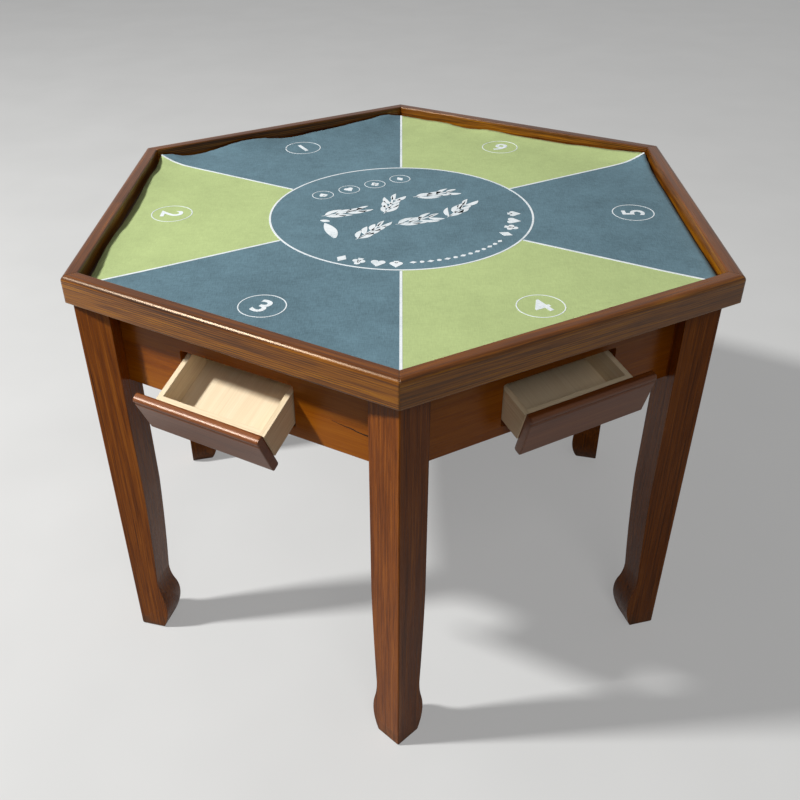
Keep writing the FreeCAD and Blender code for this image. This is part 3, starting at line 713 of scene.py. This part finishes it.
def printed_figures(material):
    """The place numbers, card suits, diamonds, dots and leaf sprays."""
    rng = random.Random(11)
    parts = []
    for k in SIDES:
        parts.append(laid(figure(str(k), NUMBER_SIZE), number_place(k), 60 * (k + 1) + 90))
    # the suits stand with their tops outward, except the hearts
    suits = ((diamond, 0.0240, -90), (club, 0.0245, -90), (heart, 0.0240, 90), (spade, 0.0240, -90))
    for directions, radius in SUIT_ROWS:
        for direction, (suit, size, turn) in zip(directions, suits):
            parts.append(laid(union_shape(suit(size)), disc_place(radius, direction), direction + turn))
    for i in range(DOT_ROW_COUNT):
        direction = DOT_ROW_START + DOT_ROW_STEP * i
        loops = [arc_points((0, 0), DOT_SIZE / 2, 0, 345, 18)] if i % 2 else diamond(DIAMOND_SIZE)
        parts.append(laid(flat_shape(loops), disc_place(DOT_ROW_RADIUS, direction), direction))
    for i, suit in enumerate((spade, heart, club, diamond)):
        place = (MAT_CENTRE[0] + RINGED_START[0] + RINGED_STEP[0] * i,
                 MAT_CENTRE[1] + RINGED_START[1] + RINGED_STEP[1] * i)
        parts.append(ribbon(circle_points(place, SUIT_RING_RADIUS, 40), SUIT_RING_LINE, closed=True))
        parts.append(laid(union_shape(suit(SUIT_SIZE)), place, 30))
    for x, y in SPRIG_PLACES:
        place = (MAT_CENTRE[0] + x, MAT_CENTRE[1] + y)
        parts.append(laid(union_shape(sprig(SPRIG_SIZE, rng)), place, rng.uniform(-40, 40)))
    stroke = [leaf((0.0, -0.034), 90, 0.068, 0.020, 0.12)]
    parts.append(laid(union_shape(stroke), (MAT_CENTRE[0] - 0.119, MAT_CENTRE[1] - 0.075), 12))
    dot = [leaf((0.0, -0.009), 90, 0.018, 0.010, 0.0)]
    parts.append(laid(union_shape(dot), (MAT_CENTRE[0] - 0.134, MAT_CENTRE[1] - 0.034), 75))
    vertices, faces = gather(parts)
    return mesh_piece("mat_printed_figures", vertices, faces, [material], smooth=False)


# ---- camera, light and floor ----
def set_camera():
    """A pinhole camera in front of corner 3, looking down at the table."""
    pitch, yaw, roll = (math.radians(angle) for angle in (PITCH, YAW, ROLL))
    base = Matrix(((1, 0, 0), (0, 0, -1), (0, 1, 0)))
    turn_z = Matrix(((math.cos(yaw), math.sin(yaw), 0), (-math.sin(yaw), math.cos(yaw), 0), (0, 0, 1)))
    turn_x = Matrix(((1, 0, 0), (0, math.cos(pitch), -math.sin(pitch)),
                     (0, math.sin(pitch), math.cos(pitch))))
    turn_r = Matrix(((math.cos(roll), -math.sin(roll), 0), (math.sin(roll), math.cos(roll), 0), (0, 0, 1)))
    view = turn_r @ turn_x @ base @ turn_z
    right, down, ahead = view[0], view[1], view[2]
    data = bpy.data.cameras.new("camera")
    data.sensor_width = SENSOR_WIDTH
    data.lens = FOCAL / IMAGE_WIDTH * SENSOR_WIDTH
    data.shift_x = (IMAGE_WIDTH / 2 - CENTRE_U) / IMAGE_WIDTH
    data.shift_y = (CENTRE_V - IMAGE_WIDTH / 2) / IMAGE_WIDTH
    camera = bpy.data.objects.new("camera", data)
    matrix = Matrix((right, -down, -ahead)).transposed().to_4x4()
    matrix.translation = Vector(CAMERA_PLACE)
    camera.matrix_world = matrix
    bpy.context.scene.collection.objects.link(camera)
    bpy.context.scene.camera = camera


def add_area(name, azimuth, elevation, distance, size, power):
    """A round lamp that points at the table from a direction given in degrees."""
    data = bpy.data.lights.new(name, "AREA")
    data.shape = "DISK"
    data.size = size
    data.energy = power
    lamp = bpy.data.objects.new(name, data)
    a, e = math.radians(azimuth), math.radians(elevation)
    offset = Vector((math.cos(e) * math.cos(a), math.cos(e) * math.sin(a), math.sin(e))) * distance
    lamp.location = Vector(LAMP_TARGET) + offset
    lamp.rotation_euler = (-offset).to_track_quat("-Z", "Y").to_euler()
    bpy.context.scene.collection.objects.link(lamp)


def background_share(tree):
    """1 for rays that show the background itself: straight, in a gloss or through glass."""
    path = tree.nodes.new("ShaderNodeLightPath")
    share = path.outputs["Is Camera Ray"]
    for name in ("Is Glossy Ray", "Is Transmission Ray"):
        either = tree.nodes.new("ShaderNodeMath")
        either.operation = "MAXIMUM"
        tree.links.new(share, either.inputs[0])
        tree.links.new(path.outputs[name], either.inputs[1])
        share = either.outputs[0]
    return share


def set_light():
    """One hard lamp from the left, one wide weak one from the front and a dim even sky."""
    scene = bpy.context.scene
    scene.view_settings.view_transform = "Standard"
    world = bpy.data.worlds.new("studio")
    scene.world = world
    world.use_nodes = True
    tree = world.node_tree
    background = tree.nodes["Background"]
    background.inputs["Color"].default_value = (1.0, 1.0, 1.0, 1.0)
    strength = tree.nodes.new("ShaderNodeMapRange")
    strength.inputs["To Min"].default_value = SKY
    strength.inputs["To Max"].default_value = SKY_SEEN
    tree.links.new(background_share(tree), strength.inputs["Value"])
    tree.links.new(strength.outputs[0], background.inputs["Strength"])
    for name, lamp in LAMPS.items():
        add_area(name, *lamp)


def add_floor():
    """A wide pale floor. What it throws back on the object is weaker, which keeps shaded sides dark, and
    where it is seen it glows a little, which keeps its far part pale."""
    nodes = Nodes("pale_floor")
    place = nodes.position()
    speckle = nodes.noise(place, 3.0, 2.0)
    pale = nodes.ramp(speckle, [(0.3, (0.42, 0.42, 0.41)), (0.7, (0.45, 0.45, 0.44))])
    dim = nodes.ramp(speckle, [(0.3, (0.17, 0.16, 0.15)), (0.7, (0.19, 0.18, 0.17))])
    seen = background_share(nodes.tree)
    nodes.surface(nodes.blend(seen, dim, pale), 0.9, Specular_IOR_Level=0.1,
                  Emission_Color=(1.0, 1.0, 1.0, 1.0),
                  Emission_Strength=nodes.sum("MULTIPLY", seen, FLOOR_GLOW))
    r = FLOOR_REACH
    corners = [(-r, -r, 0.0), (r, -r, 0.0), (r, r, 0.0), (-r, r, 0.0)]
    mesh_piece("floor", corners, [(0, 1, 2, 3)], [nodes.material], smooth=False)


set_camera()
set_light()
add_floor()
dress_frame()
dress_drawers()

mat = playing_mat()
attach(mat, "table")
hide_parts("playing_mat")
white = print_white("mat_print")
prints = [printed_lines(white), printed_figures(white)]
for piece in prints:
    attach(piece, "table")
